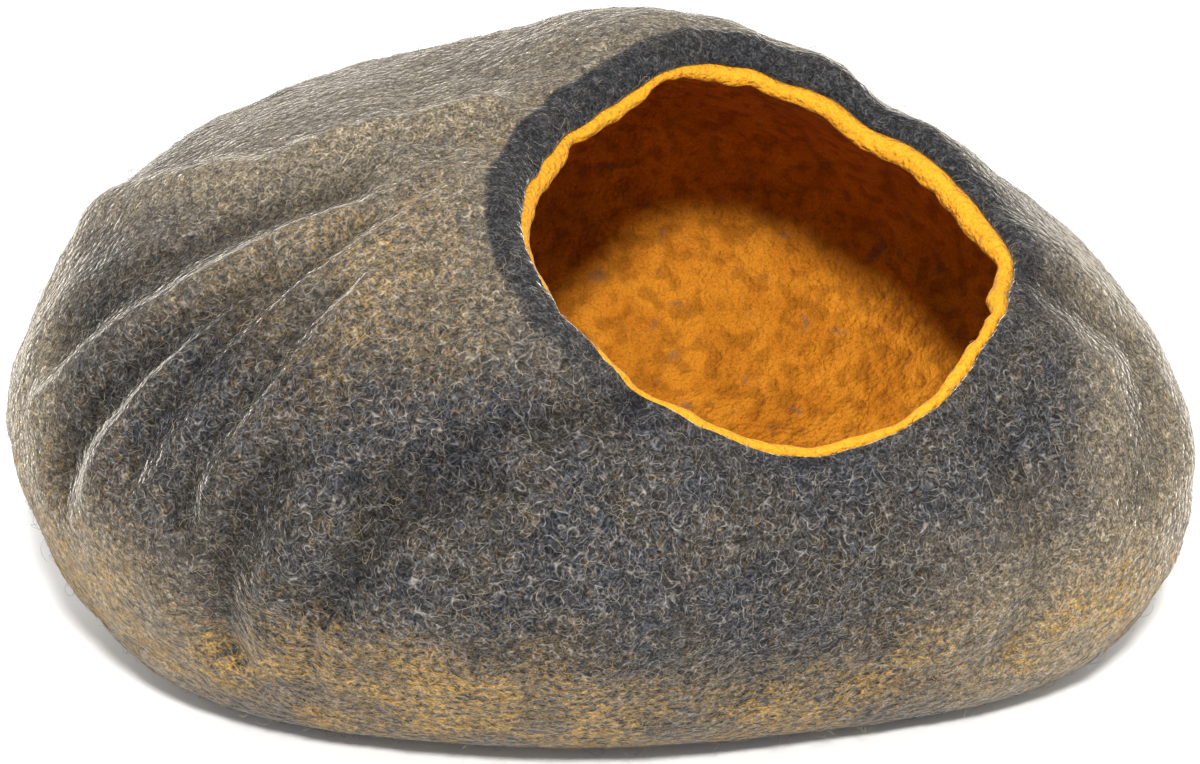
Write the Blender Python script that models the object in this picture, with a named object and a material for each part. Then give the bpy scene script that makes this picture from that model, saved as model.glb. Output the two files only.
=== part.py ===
"""A wet-felted cat cave bed: a rounded hollow of thick wool felt with one slanted opening cut near its top.

Units are metres and +Z is up. The long side runs along X, and the opening faces -Y and up.
"""

import math
from collections import namedtuple

import bmesh
import bpy
import numpy as np

for item in list(bpy.data.objects):
    bpy.data.objects.remove(item, do_unlink=True)

# Reach of the felted body from its middle, and how round each half is: 2 is an ellipse, and more is boxier
LEFT_REACH = 0.235
RIGHT_REACH = 0.228
DEEP_REACH = 0.212
TOP_REACH = 0.127
UNDER_REACH = 0.175
MIDDLE_HEIGHT = 0.108
PLAN_ROUNDNESS = 2.1
TOP_ROUNDNESS = 2.1
UNDER_ROUNDNESS = 1.5

# Height over which the soft underside settles flat on the floor, and where the folds start to fade above it
SETTLE_HEIGHT = 0.030
FOLD_FADE_HEIGHT = 0.045

# Thickness of the two wool layers and the gap between their solids
OUTER_FELT = 0.0045
INNER_FELT = 0.0036
LAYER_GAP = 0.0003

# The opening: where its middle is seen from the body's middle, and the length over which its lip bends
OPENING_AZIMUTH = -47.0
OPENING_ELEVATION = 44.0
LIP_BEND = 0.012
CREST_SPREAD = 0.08
NECK_TURN = math.radians(50.0)
ROLL_END = math.radians(-25.0)

# Columns and rings of each layer. The columns stand closer together on the folded left side
COLUMNS = 72
FOLDED_SIDE_TURN = 255.0
CROWDING = 0.50
SKIN_RINGS = 32
INSIDE_RINGS = 12
LIP_RINGS = 3
EDGE_RINGS = 4
NECK_RINGS = 2
ROLL_RINGS = 7
RING_CROWDING = 0.12

# Spacing of the points that give a normal, and how steep a direction may be before its helper axis changes
NORMAL_STEP = 1e-4
STEEP = 0.9

# How much of a fold's height each surface keeps
SKIN_RELIEF = 1.0
MIDDLE_RELIEF = 0.6
INSIDE_RELIEF = 0.4

OUTER_COLOUR = (0.085, 0.080, 0.072)
INNER_COLOUR = (0.80, 0.33, 0.02)
FELT_ROUGHNESS = 0.95

# Broad rises and hollows of the body. Azimuth 0 is +X and 90 is +Y, angles in degrees, height in metres
Swell = namedtuple("Swell", "azimuth elevation spread height")
SWELLS = (
    Swell(-6, 3, 24, -0.011),
    Swell(8, 26, 20, -0.008),
    Swell(34, 61, 24, 0.009),
    Swell(38, 24, 22, -0.022),
    Swell(62, 44, 26, -0.003),
    Swell(90, 72, 24, 0.015),
    Swell(151, 58, 24, -0.005),
    Swell(-165, -15, 24, 0.012),
    Swell(-152, -33, 24, 0.021),
    Swell(-28, -33, 24, 0.014),
    Swell(-15, -15, 24, 0.038),
    Swell(-62, 16, 28, -0.034),
)

# Ridges (height above 0) and creases (below 0) along the skin, each from a start past a middle to an end
Fold = namedtuple("Fold", "start middle end half_width height")
FOLDS = (
    Fold((180, 19), (-162, 36), (-147, 66), 4.5, 0.0070),
    Fold((-160, 12), (-154, 27), (-144, 42), 3.5, -0.0055),
    Fold((-158, 6), (-149, 21), (-139, 37), 2.6, 0.0045),
    Fold((-151, 1), (-146, 15), (-140, 28), 2.4, -0.0065),
    Fold((-145, 3), (-141, 18), (-137, 33), 2.0, 0.0030),
    Fold((-141, 6), (-138, 22), (-134, 39), 2.0, -0.0050),
    Fold((-134, 4), (-130, 17), (-127, 30), 2.2, -0.0050),
    Fold((-131, 8), (-128, 19), (-124, 31), 2.2, 0.0035),
    Fold((-124, 11), (-128, -1), (-132, -12), 2.4, -0.0055),
    Fold((-103, 12), (-112, 8), (-117, -2), 2.4, -0.0055),
    Fold((-115, 10), (-101, 18), (-86, 20), 2.6, -0.0045),
    Fold((-22, 20), (-17, 10), (-28, 0), 4.0, -0.0045),
    Fold((-42, 10), (-40, -4), (-41, -16), 3.0, -0.0035),
    Fold((95, 30), (110, 10), (118, -8), 4.0, -0.0055),
    Fold((60, 25), (48, 5), (42, -10), 4.0, -0.0050),
    Fold((150, 25), (148, 5), (142, -12), 3.5, -0.0055),
)

# The cut edge, in even steps of turn: 0 is its uphill side and 90 its right side, seen from outside.
# half_angle is how far the lip starts from the opening's axis, lip its length, curl how far it bends inwards,
# crest how far it stands proud, and roll the radius of the ochre rim
RimPoint = namedtuple("RimPoint", "turn half_angle lip curl crest roll")
RIM = (
    RimPoint(0, 42.0, 0.016, 55, 0.003, 0.0032),
    RimPoint(30, 43.5, 0.016, 55, 0.004, 0.0032),
    RimPoint(60, 40.0, 0.016, 55, 0.005, 0.0034),
    RimPoint(90, 35.0, 0.014, 50, 0.005, 0.0042),
    RimPoint(120, 32.0, 0.011, 35, 0.002, 0.0042),
    RimPoint(150, 28.5, 0.008, 10, 0.000, 0.0032),
    RimPoint(180, 32.0, 0.008, 5, 0.000, 0.0028),
    RimPoint(210, 37.5, 0.008, 5, 0.000, 0.0028),
    RimPoint(240, 40.0, 0.010, 15, 0.000, 0.0030),
    RimPoint(270, 43.0, 0.014, 40, 0.002, 0.0036),
    RimPoint(300, 45.5, 0.016, 50, 0.003, 0.0038),
    RimPoint(330, 44.5, 0.016, 55, 0.003, 0.0034),
)


def unit(vectors):
    """The vectors at length 1."""
    return vectors / np.linalg.norm(vectors, axis=-1, keepdims=True)


def heading(azimuth, elevation):
    """The direction at an azimuth and an elevation in degrees."""
    around = math.radians(azimuth)
    up = math.radians(elevation)
    return np.array((math.cos(up) * math.cos(around), math.cos(up) * math.sin(around), math.sin(up)))


def dot(first, second):
    """The dot product along the last axis, kept as a column."""
    return np.sum(first * second, axis=-1, keepdims=True)


def angle_between(directions, other):
    """The angle in degrees from each direction to another one."""
    return np.degrees(np.arccos(np.clip(dot(directions, other), -1.0, 1.0)))


OPENING_AXIS = heading(OPENING_AZIMUTH, OPENING_ELEVATION)
UPHILL = unit(np.array((0.0, 0.0, 1.0)) - OPENING_AXIS * OPENING_AXIS[2])
RIGHTWARD = np.cross(UPHILL, OPENING_AXIS)


def body_reach(directions):
    """How far the plain body reaches from its middle: a rounded block with its own size on each side."""
    x, y, z = np.split(np.abs(directions), 3, axis=-1)
    across = np.where(directions[..., 0:1] < 0.0, LEFT_REACH, RIGHT_REACH)
    below = directions[..., 2:3] < 0.0
    tall = np.where(below, UNDER_REACH, TOP_REACH)
    power = np.where(below, UNDER_ROUNDNESS, TOP_ROUNDNESS)
    plan = (x / across) ** PLAN_ROUNDNESS + (y / DEEP_REACH) ** PLAN_ROUNDNESS
    return (plan ** (power / PLAN_ROUNDNESS) + (z / tall) ** power) ** (-1.0 / power)


def settled(height):
    """A height above the floor, eased to exactly 0 where the underside would hang below the floor."""
    eased = (height + SETTLE_HEIGHT) ** 2 / (4.0 * SETTLE_HEIGHT)
    return np.where(height > SETTLE_HEIGHT, height, np.where(height < -SETTLE_HEIGHT, 0.0, eased))


def smooth_skin(directions):
    """The skin without its folds, in each direction from the body's middle."""
    reach = body_reach(directions)
    for swell in SWELLS:
        angle = angle_between(directions, heading(swell.azimuth, swell.elevation))
        reach = reach + swell.height * np.exp(-((angle / swell.spread) ** 2))
    points = directions * reach
    points[..., 2:3] = settled(points[..., 2:3] + MIDDLE_HEIGHT)
    return points


def skin_normals(directions):
    """The outward normal of the smooth skin, from three close points on it."""
    helper = np.where(np.abs(directions[..., 2:3]) > STEEP, (1.0, 0.0, 0.0), (0.0, 0.0, 1.0))
    first = unit(np.cross(helper, directions))
    second = np.cross(directions, first)
    here = smooth_skin(directions)
    along_first = smooth_skin(unit(directions + NORMAL_STEP * first)) - here
    along_second = smooth_skin(unit(directions + NORMAL_STEP * second)) - here
    return unit(np.cross(along_first, along_second))


def angle_from_path(directions, path):
    """The angle in degrees from each direction to the nearest point of a path of directions."""
    nearest = np.inf
    for start, end in zip(path, path[1:]):
        span = end - start
        share = np.clip(dot(directions - start, span) / np.dot(span, span), 0.0, 1.0)
        nearest = np.minimum(nearest, angle_between(directions, unit(start + share * span)))
    return nearest


def fold_height(directions):
    """How far the folds lift or sink the skin."""
    height = np.zeros(directions.shape[:-1] + (1,))
    for fold in FOLDS:
        path = [heading(*fold.start), heading(*fold.middle), heading(*fold.end)]
        angle = angle_from_path(directions, path)
        height = height + fold.height * np.exp(-((angle / fold.half_width) ** 2))
    fade = np.clip(smooth_skin(directions)[..., 2:3] / FOLD_FADE_HEIGHT, 0.0, 1.0)
    return height * fade * fade * (3.0 - 2.0 * fade)


def rim_value(column, turn):
    """A column of the rim table at any turn in degrees, on a smooth closed curve through its rows."""
    values = np.array([getattr(row, column) for row in RIM])
    place = np.mod(turn, 360.0) / 360.0 * len(RIM)
    row = np.floor(place).astype(int)
    share = place - row
    before, here, after, beyond = (values[(row + step) % len(RIM)] for step in (-1, 0, 1, 2))
    slope = (after - before) / 2.0
    next_slope = (beyond - here) / 2.0
    rest = after - here
    return (
        here
        + slope * share
        + (3.0 * rest - 2.0 * slope - next_slope) * share**2
        + (slope + next_slope - 2.0 * rest) * share**3
    )


def felt_points(turn, fraction, along, depth, relief):
    """Points of the felt.

    turn goes round the opening. fraction runs from 0 at the far side of the body to 1 at the lip, and along
    is the distance up the lip from there. depth is measured inwards from the skin, and relief is the share
    of the folds that shows there.
    """
    turn = np.asarray(turn)[..., None]
    half_angle = np.radians(rim_value("half_angle", turn))
    away = math.pi - fraction * (math.pi - half_angle)
    outward = UPHILL * np.cos(np.radians(turn)) + RIGHTWARD * np.sin(np.radians(turn))
    directions = OPENING_AXIS * np.cos(away) + outward * np.sin(away)
    normals = skin_normals(directions)
    inward = OPENING_AXIS * np.sin(away) - outward * np.cos(away)
    inward = unit(inward - normals * dot(inward, normals))

    curl = np.radians(rim_value("curl", turn))
    bent = curl * np.clip(along / LIP_BEND, 0.0, 1.0)
    straight = np.maximum(along - LIP_BEND, 0.0)
    forward = LIP_BEND * np.sin(bent) / curl + straight * np.cos(curl)
    drop = LIP_BEND * (1.0 - np.cos(bent)) / curl + straight * np.sin(curl)

    crest = rim_value("crest", turn) * np.exp(-(((1.0 - fraction) / CREST_SPREAD) ** 2))
    lift = crest + relief * fold_height(directions)
    lip_normals = normals * np.cos(bent) + inward * np.sin(bent)
    return smooth_skin(directions) + inward * forward + normals * (lift - drop) - lip_normals * depth


def steps(count, first=0.0, last=1.0):
    """Even shares between two values, both included."""
    return np.linspace(first, last, count + 1)


def skin_fractions(rings):
    """Fractions of the way from the far side to the lip, a little closer together near the lip."""
    even = steps(rings)
    return even + RING_CROWDING * np.sin(math.pi * even) * even


def body_rings(fractions, depth, relief):
    """Rings over the body at one depth, as (fraction, along, depth, relief)."""
    return [(fraction, 0.0, depth, relief) for fraction in fractions]


def lip_rings(shares, length, depth, relief):
    """Rings up the lip at one depth."""
    return [(1.0, share * length, depth, relief) for share in shares]


def outer_felt_rings(turn):
    """The outer layer: up the skin, round the cut edge and back down its inner side."""
    edge = OUTER_FELT / 2.0
    reach = rim_value("lip", turn)[:, None] - edge
    rings = body_rings(skin_fractions(SKIN_RINGS), 0.0, SKIN_RELIEF)
    rings += lip_rings(steps(LIP_RINGS)[1:], reach, 0.0, SKIN_RELIEF)
    for bend in steps(EDGE_RINGS, 0.0, math.pi)[1:-1]:
        along = reach + edge * math.sin(bend)
        rings.append((1.0, along, edge - edge * math.cos(bend), MIDDLE_RELIEF))
    rings += lip_rings(steps(LIP_RINGS)[:0:-1], reach, OUTER_FELT, MIDDLE_RELIEF)
    rings += body_rings(skin_fractions(INSIDE_RINGS)[::-1], OUTER_FELT, MIDDLE_RELIEF)
    return rings


def inner_felt_rings(turn):
    """The inner layer: up under the outer one, round the rolled rim and back down the inside of the cave."""
    edge = OUTER_FELT / 2.0
    top = OUTER_FELT + LAYER_GAP
    bottom = top + INNER_FELT
    reach = rim_value("lip", turn)[:, None] - edge
    roll = rim_value("roll", turn)[:, None]
    rings = body_rings(skin_fractions(INSIDE_RINGS), top, MIDDLE_RELIEF)
    rings += lip_rings(steps(LIP_RINGS)[1:], reach, top, MIDDLE_RELIEF)
    neck = edge + LAYER_GAP
    for bend in steps(NECK_RINGS, 0.0, NECK_TURN)[1:]:
        along = reach + neck * math.sin(bend)
        rings.append((1.0, along, edge + neck * math.cos(bend), MIDDLE_RELIEF))
    roll_along = reach + (neck + roll) * math.sin(NECK_TURN)
    roll_depth = edge + (neck + roll) * math.cos(NECK_TURN)
    for bend in steps(ROLL_RINGS, NECK_TURN + math.pi, ROLL_END)[1:]:
        along = roll_along + roll * math.sin(bend)
        rings.append((1.0, along, roll_depth + roll * math.cos(bend), MIDDLE_RELIEF))
    rings += lip_rings(steps(LIP_RINGS)[:0:-1], reach, bottom, INSIDE_RELIEF)
    rings += body_rings(skin_fractions(INSIDE_RINGS)[::-1], bottom, INSIDE_RELIEF)
    return rings


def column_turns():
    """The turn of each column in degrees, closer together round the folded side."""
    even = np.arange(COLUMNS) * 360.0 / COLUMNS
    return even - np.degrees(CROWDING) * np.sin(np.radians(even - FOLDED_SIDE_TURN))


def layer_points(rings_of):
    """A layer's points by ring and column, and how near each ring is to the rim."""
    turn = column_turns()
    rings = rings_of(turn)
    points = np.array([felt_points(turn, *ring) for ring in rings])
    nearness = [fraction + float(np.mean(along)) for fraction, along, _, _ in rings]
    return points, nearness


def felt_material(name, colour):
    """Matt wool felt of one colour."""
    material = bpy.data.materials.new(name)
    material.use_nodes = True
    shader = material.node_tree.nodes["Principled BSDF"]
    shader.inputs["Base Color"].default_value = (*colour, 1.0)
    shader.inputs["Roughness"].default_value = FELT_ROUGHNESS
    shader.inputs["Metallic"].default_value = 0.0
    material.diffuse_color = (*colour, 1.0)
    return material


def split_faces(felt, places, nearness):
    """Splits each face of four from far left to near right, so that both layers are split alike."""
    for face in [face for face in felt.faces if len(face.verts) == 4]:
        columns = {places[vertex][1] for vertex in face.verts}
        left = next(column for column in columns if (column + 1) % COLUMNS in columns)
        ordered = sorted(face.verts, key=lambda vertex: nearness[places[vertex][0]])
        far_left = next(vertex for vertex in ordered[:2] if places[vertex][1] == left)
        near_right = next(vertex for vertex in ordered[2:] if places[vertex][1] != left)
        bmesh.utils.face_split(face, far_left, near_right)


def felt_layer(name, points, nearness, material, collection):
    """One layer as a closed body: a sphere whose rings run up one side of the felt, round its edge and back.

    split_faces needs how near each ring is to the rim.
    """
    rings = len(points) - 1
    felt = bmesh.new()
    bmesh.ops.create_uvsphere(felt, u_segments=COLUMNS, v_segments=rings, radius=1.0)
    places = {}
    for vertex in felt.verts:
        x, y, z = vertex.co
        ring = round(math.acos(max(-1.0, min(1.0, z))) / math.pi * rings)
        column = round(math.atan2(y, x) / (2.0 * math.pi) * COLUMNS) % COLUMNS
        places[vertex] = (ring, column)
        vertex.co = points[ring, column]
    split_faces(felt, places, nearness)
    bmesh.ops.recalc_face_normals(felt, faces=felt.faces)
    mesh = bpy.data.meshes.new(name)
    felt.to_mesh(mesh)
    felt.free()
    mesh.shade_smooth()
    mesh.materials.append(material)
    layer = bpy.data.objects.new(name, mesh)
    collection.objects.link(layer)


def build_cave():
    """Both layers, with the middle of the cave's box above the origin and its underside on the floor."""
    collection = bpy.data.collections.new("cat_cave_bed")
    bpy.context.scene.collection.children.link(collection)
    outer, outer_nearness = layer_points(outer_felt_rings)
    inner, inner_nearness = layer_points(inner_felt_rings)
    low = outer.min(axis=(0, 1))
    high = outer.max(axis=(0, 1))
    middle = np.array(((low[0] + high[0]) / 2.0, (low[1] + high[1]) / 2.0, low[2]))
    charcoal = felt_material("charcoal_felt", OUTER_COLOUR)
    ochre = felt_material("ochre_felt", INNER_COLOUR)
    felt_layer("outer_felt", outer - middle, outer_nearness, charcoal, collection)
    felt_layer("inner_felt", inner - middle, inner_nearness, ochre, collection)


build_cave()
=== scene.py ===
"""A wet-felted cat cave bed in charcoal and ochre wool, on a pale studio floor.

Units are metres and +Z is up. Both felt layers are made again here from the same sizes as the solids, with
finer creases and lumps, and stray wool fibres lie over them.
"""

import itertools
import math
from collections import namedtuple

import bmesh
import bpy
import numpy as np
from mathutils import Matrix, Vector


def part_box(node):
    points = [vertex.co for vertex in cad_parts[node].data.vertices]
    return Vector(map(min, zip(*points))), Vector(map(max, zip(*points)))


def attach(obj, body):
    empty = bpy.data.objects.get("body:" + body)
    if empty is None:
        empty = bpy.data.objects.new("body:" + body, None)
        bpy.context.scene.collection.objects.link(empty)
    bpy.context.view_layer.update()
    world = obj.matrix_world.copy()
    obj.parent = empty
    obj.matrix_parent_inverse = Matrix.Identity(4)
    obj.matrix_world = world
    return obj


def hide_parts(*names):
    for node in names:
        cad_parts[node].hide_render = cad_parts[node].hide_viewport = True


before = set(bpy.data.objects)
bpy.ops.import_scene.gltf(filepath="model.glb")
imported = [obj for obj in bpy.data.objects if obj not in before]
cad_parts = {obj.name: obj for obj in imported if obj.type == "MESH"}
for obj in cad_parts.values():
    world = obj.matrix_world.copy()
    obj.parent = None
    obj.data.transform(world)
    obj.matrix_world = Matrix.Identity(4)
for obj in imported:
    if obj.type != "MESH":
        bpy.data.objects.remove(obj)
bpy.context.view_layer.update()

# Reach of the felted body from its middle, and how round each half is: 2 is an ellipse, and more is boxier
LEFT_REACH = 0.235
RIGHT_REACH = 0.228
DEEP_REACH = 0.212
TOP_REACH = 0.127
UNDER_REACH = 0.175
MIDDLE_HEIGHT = 0.108
PLAN_ROUNDNESS = 2.1
TOP_ROUNDNESS = 2.1
UNDER_ROUNDNESS = 1.5

# Height over which the soft underside settles flat on the floor, and where the folds start to fade above it
SETTLE_HEIGHT = 0.030
FOLD_FADE_HEIGHT = 0.045

# Thickness of the two wool layers and the gap between them
OUTER_FELT = 0.0045
INNER_FELT = 0.0036
LAYER_GAP = 0.0003

# The opening: where its middle is seen from the body's middle, and the length over which its lip bends
OPENING_AZIMUTH = -47.0
OPENING_ELEVATION = 44.0
LIP_BEND = 0.012
CREST_SPREAD = 0.08
NECK_TURN = math.radians(50.0)
ROLL_END = math.radians(-25.0)

# Columns and rings of each layer. The columns stand closer together on the creased left side
COLUMNS = 390
FOLDED_SIDE_TURN = 255.0
CROWDING = 0.50
SKIN_RINGS = 210
BACKING_RINGS = 24
INSIDE_RINGS = 96
LIP_RINGS = 6
EDGE_RINGS = 6
NECK_RINGS = 3
ROLL_RINGS = 13
RING_CROWDING = 0.12

# Spacing of the points that give a normal, and how steep a direction may be before its helper axis changes
NORMAL_STEP = 1e-4
STEEP = 0.9

# How much of a fold's height each surface keeps, and of its fine relief the inside of the lip
SKIN_RELIEF = 1.0
MIDDLE_RELIEF = 0.6
INSIDE_RELIEF = 0.4
INNER_LIP_FINE = 0.5

# How far the fine relief may lift or sink a surface, and the least that is left of it in deep creases, so
# that the skin never dips through the wall
FINE_LIMIT = 0.0033
FINE_LEAST = 0.0004

# Broad rises and hollows of the body. Azimuth 0 is +X and 90 is +Y, angles in degrees, height in metres
Swell = namedtuple("Swell", "azimuth elevation spread height")
SWELLS = (
    Swell(-6, 3, 24, -0.011),
    Swell(8, 26, 20, -0.008),
    Swell(34, 61, 24, 0.009),
    Swell(38, 24, 22, -0.022),
    Swell(62, 44, 26, -0.003),
    Swell(90, 72, 24, 0.015),
    Swell(151, 58, 24, -0.005),
    Swell(-165, -15, 24, 0.012),
    Swell(-152, -33, 24, 0.021),
    Swell(-28, -33, 24, 0.014),
    Swell(-15, -15, 24, 0.038),
    Swell(-62, 16, 28, -0.034),
)

# Ridges (height above 0) and creases (below 0) along the skin, each from a start past a middle to an end
Fold = namedtuple("Fold", "start middle end half_width height")
FOLDS = (
    Fold((180, 19), (-162, 36), (-147, 66), 4.5, 0.0070),
    Fold((-160, 12), (-154, 27), (-144, 42), 3.5, -0.0055),
    Fold((-158, 6), (-149, 21), (-139, 37), 2.6, 0.0045),
    Fold((-151, 1), (-146, 15), (-140, 28), 2.4, -0.0065),
    Fold((-145, 3), (-141, 18), (-137, 33), 2.0, 0.0030),
    Fold((-141, 6), (-138, 22), (-134, 39), 2.0, -0.0050),
    Fold((-134, 4), (-130, 17), (-127, 30), 2.2, -0.0050),
    Fold((-131, 8), (-128, 19), (-124, 31), 2.2, 0.0035),
    Fold((-124, 11), (-128, -1), (-132, -12), 2.4, -0.0055),
    Fold((-103, 12), (-112, 8), (-117, -2), 2.4, -0.0055),
    Fold((-115, 10), (-101, 18), (-86, 20), 2.6, -0.0045),
    Fold((-22, 20), (-17, 10), (-28, 0), 4.0, -0.0045),
    Fold((-42, 10), (-40, -4), (-41, -16), 3.0, -0.0035),
    Fold((95, 30), (110, 10), (118, -8), 4.0, -0.0055),
    Fold((60, 25), (48, 5), (42, -10), 4.0, -0.0050),
    Fold((150, 25), (148, 5), (142, -12), 3.5, -0.0055),
)

# Finer creases between the main ones, which only this surface has
FINE_FOLDS = (
    Fold((-164, 12), (-159, 24), (-152, 36), 1.3, -0.0012),
    Fold((-160, 4), (-156, 14), (-151, 24), 1.2, -0.0014),
    Fold((-153, 38), (-146, 46), (-134, 54), 1.5, -0.0010),
    Fold((-144, 26), (-139, 36), (-128, 47), 1.4, -0.0012),
    Fold((-138, 8), (-135, 20), (-131, 32), 1.1, -0.0018),
    Fold((-129, -2), (-127, 8), (-123, 18), 1.2, -0.0018),
    Fold((-121, 16), (-116, 26), (-108, 36), 1.4, -0.0016),
    Fold((-112, 22), (-107, 32), (-97, 40), 1.5, -0.0015),
    Fold((-118, 0), (-121, -9), (-124, -17), 1.3, -0.0018),
    Fold((-110, 14), (-100, 12), (-92, 14), 1.3, -0.0016),
    Fold((-150, 52), (-132, 58), (-112, 58), 1.6, -0.0016),
    Fold((-160, 46), (-140, 50), (-120, 50), 1.5, 0.0014),
    Fold((-96, 4), (-97, -6), (-99, -18), 2.6, -0.0016),
    Fold((-86, -2), (-85, -10), (-85, -20), 2.4, -0.0014),
    Fold((-74, 0), (-73, -10), (-72, -20), 2.8, -0.0016),
    Fold((-60, 2), (-58, -8), (-57, -19), 2.6, -0.0014),
)

# The cut edge, in even steps of turn: 0 is its uphill side and 90 its right side, seen from outside.
# half_angle is how far the lip starts from the opening's axis, lip its length, curl how far it bends in,
# crest how far it stands proud, roll the radius of the ochre rim, and band how dark the lip is
RimPoint = namedtuple("RimPoint", "turn half_angle lip curl crest roll band")
RIM = (
    RimPoint(0, 42.0, 0.016, 55, 0.003, 0.0036, 1.00),
    RimPoint(30, 43.5, 0.016, 55, 0.004, 0.0034, 1.00),
    RimPoint(60, 40.0, 0.016, 55, 0.005, 0.0036, 1.00),
    RimPoint(90, 35.0, 0.014, 50, 0.005, 0.0046, 1.00),
    RimPoint(120, 32.0, 0.011, 35, 0.002, 0.0046, 0.75),
    RimPoint(150, 28.5, 0.008, 10, 0.000, 0.0034, 0.45),
    RimPoint(180, 32.0, 0.008, 5, 0.000, 0.0028, 0.35),
    RimPoint(210, 37.5, 0.008, 5, 0.000, 0.0028, 0.35),
    RimPoint(240, 40.0, 0.010, 15, 0.000, 0.0034, 0.45),
    RimPoint(270, 43.0, 0.014, 40, 0.002, 0.0043, 0.80),
    RimPoint(300, 45.5, 0.016, 50, 0.003, 0.0045, 1.00),
    RimPoint(330, 44.5, 0.016, 55, 0.003, 0.0040, 1.00),
)

# Unevenness of the wool, outside and inside: the distance from lump to lump and how high each stands
Lump = namedtuple("Lump", "pitch height")
SKIN_LUMPS = (Lump(0.034, 0.0012), Lump(0.015, 0.0008), Lump(0.0075, 0.0005))
INSIDE_LUMPS = (Lump(0.026, 0.0012), Lump(0.011, 0.0009), Lump(0.0065, 0.0005))

# Unevenness of the crest and of the rolled rim as shares of their sizes, and of the cut edge in metres,
# read on a circle of about the opening's radius
CREST_LUMPS = (Lump(0.021, 0.80), Lump(0.009, 0.20))
ROLL_LUMPS = (Lump(0.045, 0.20), Lump(0.017, 0.26), Lump(0.008, 0.14))
EDGE_LUMPS = (Lump(0.050, 0.0016), Lump(0.019, 0.0016), Lump(0.009, 0.0008))
OPENING_RADIUS = 0.125

# Small wrinkles along the creased side: where they lie thickest and how far they spread in degrees, their
# slant from the vertical, how much longer than wide they are, and their sizes in degrees and metres
WRINKLE_MIDDLE = (-139.0, 24.0)
WRINKLE_SPREAD = (22.0, 21.0)
WRINKLE_SLANT = math.radians(28.0)
WRINKLE_STRETCH = 5.0
WRINKLES = (Lump(4.6, 0.0024), Lump(2.4, 0.0013))

# Patches where ochre wool lies thick on the charcoal: azimuth and height of the middle, then half sizes
Patch = namedtuple("Patch", "azimuth height half_width half_height share")
OCHRE_PATCHES = (
    Patch(-107, 0.046, 16, 0.034, 1.60),
    Patch(-130, 0.040, 16, 0.032, 0.60),
    Patch(-152, 0.060, 16, 0.042, 1.10),
    Patch(-82, 0.028, 18, 0.022, 0.75),
    Patch(-58, 0.034, 16, 0.024, 0.80),
    Patch(-35, 0.056, 15, 0.026, 1.00),
    Patch(-6, 0.050, 16, 0.034, 1.00),
    Patch(-124, 0.205, 20, 0.028, 0.30),
    Patch(30, 0.060, 26, 0.040, 0.70),
    Patch(80, 0.045, 30, 0.035, 0.75),
    Patch(135, 0.060, 26, 0.040, 0.65),
)


# Breaks in the ochre patches: the distance between them, the noise over which they close, and the least left
PATCH_PITCH = 0.021
PATCH_BREAK = (-0.55, 0.45)
PATCH_LEAST = 0.25

# The dark lip starts and is full at these shares of the way to it, and its border wanders
BAND = (0.991, 0.999)
BORDER_PITCH = 0.010
BORDER_WANDER = 0.004

# Where the wool turns paler, partly pale wool and partly painted light: a painted highlight on top by how
# far the skin faces up and on the ridges, and painted sheen and bounce light at both ends by the distance
# from the middle, more so low down. The right end turns pale sooner
PALE_NORMAL = (0.68, 1.0)
PALE_RIDGE = (0.0004, 0.0050)
PALE_END = (0.196, 0.228)
PALE_LOW_END = (0.125, 0.205)
PALE_LOW_HEIGHT = (0.140, 0.070)
RIGHT_END_SHIFT = 0.024
TOP_PALE_AND_LIGHT = 0.65
RIDGE_PALE_AND_LIGHT = 0.35
LOW_END_PALE_AND_LIGHT = 0.9

# Painted shade darkens the creases by their depth, strands start a little above the floor, and fuzz fades
# away from the rim
CREASE_DEPTH = (0.0004, 0.0052)
STRAND_HEIGHT = (0.003, 0.010)
RIM_FUZZ_FADE = 20

# Colours of the wools, as shares of red, green and blue light
BLUE_CHARCOAL = (0.022, 0.024, 0.028)
BROWN_CHARCOAL = (0.032, 0.028, 0.024)
LIP_CHARCOAL = (0.019, 0.020, 0.023)
DARK_WOOL = (0.005, 0.005, 0.006)
GREY_WOOL = (0.095, 0.092, 0.091)
STEEL_WOOL = (0.072, 0.080, 0.096)
COOL_PALE_WOOL = (0.225, 0.208, 0.190)
PALE_WOOL = (0.320, 0.260, 0.175)
OCHRE_FIBRE = (0.360, 0.210, 0.045)
RIM_OCHRE = (0.700, 0.310, 0.022)
# Inside the cave the same wool as the rim is given darker colours, partly its own mottling and partly
# painted shade
BRIGHT_OCHRE = (0.650, 0.245, 0.020)
DEEP_OCHRE = (0.450, 0.145, 0.010)
BURNT_OCHRE = (0.200, 0.065, 0.007)
RIM_FUZZ = (0.420, 0.240, 0.090)
SHEEN_TINT = (1.0, 0.95, 0.86)

# Surfaces: roughness, gloss, relief in metres and sheen, which stands for the wool's fuzz
FELT_ROUGHNESS = 0.92
STRAY_ROUGHNESS = 0.75
WOOL_GLOSS = 0.04
FELT_RELIEF = 0.0012
INSIDE_FELT_RELIEF = 0.0016
STRAY_RELIEF = 0.00033
SHEEN_ROUGHNESS = 0.30
CHARCOAL_SHEEN = 0.45
OCHRE_SHEEN = 0.08
STRAY_SHEEN = 0.3

# How fibres curl: the distance from bend to bend, a seed and how far they are pushed
Curl = namedtuple("Curl", "pitch seed reach")
CHARCOAL_CURLS = Curl(0.0055, 0.0, 0.0052)
OCHRE_CURLS = Curl(0.014, 0.0, 0.011)
NOISE_MIDDLE = 0.5
CLOUD_DETAIL = 1.0

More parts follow.
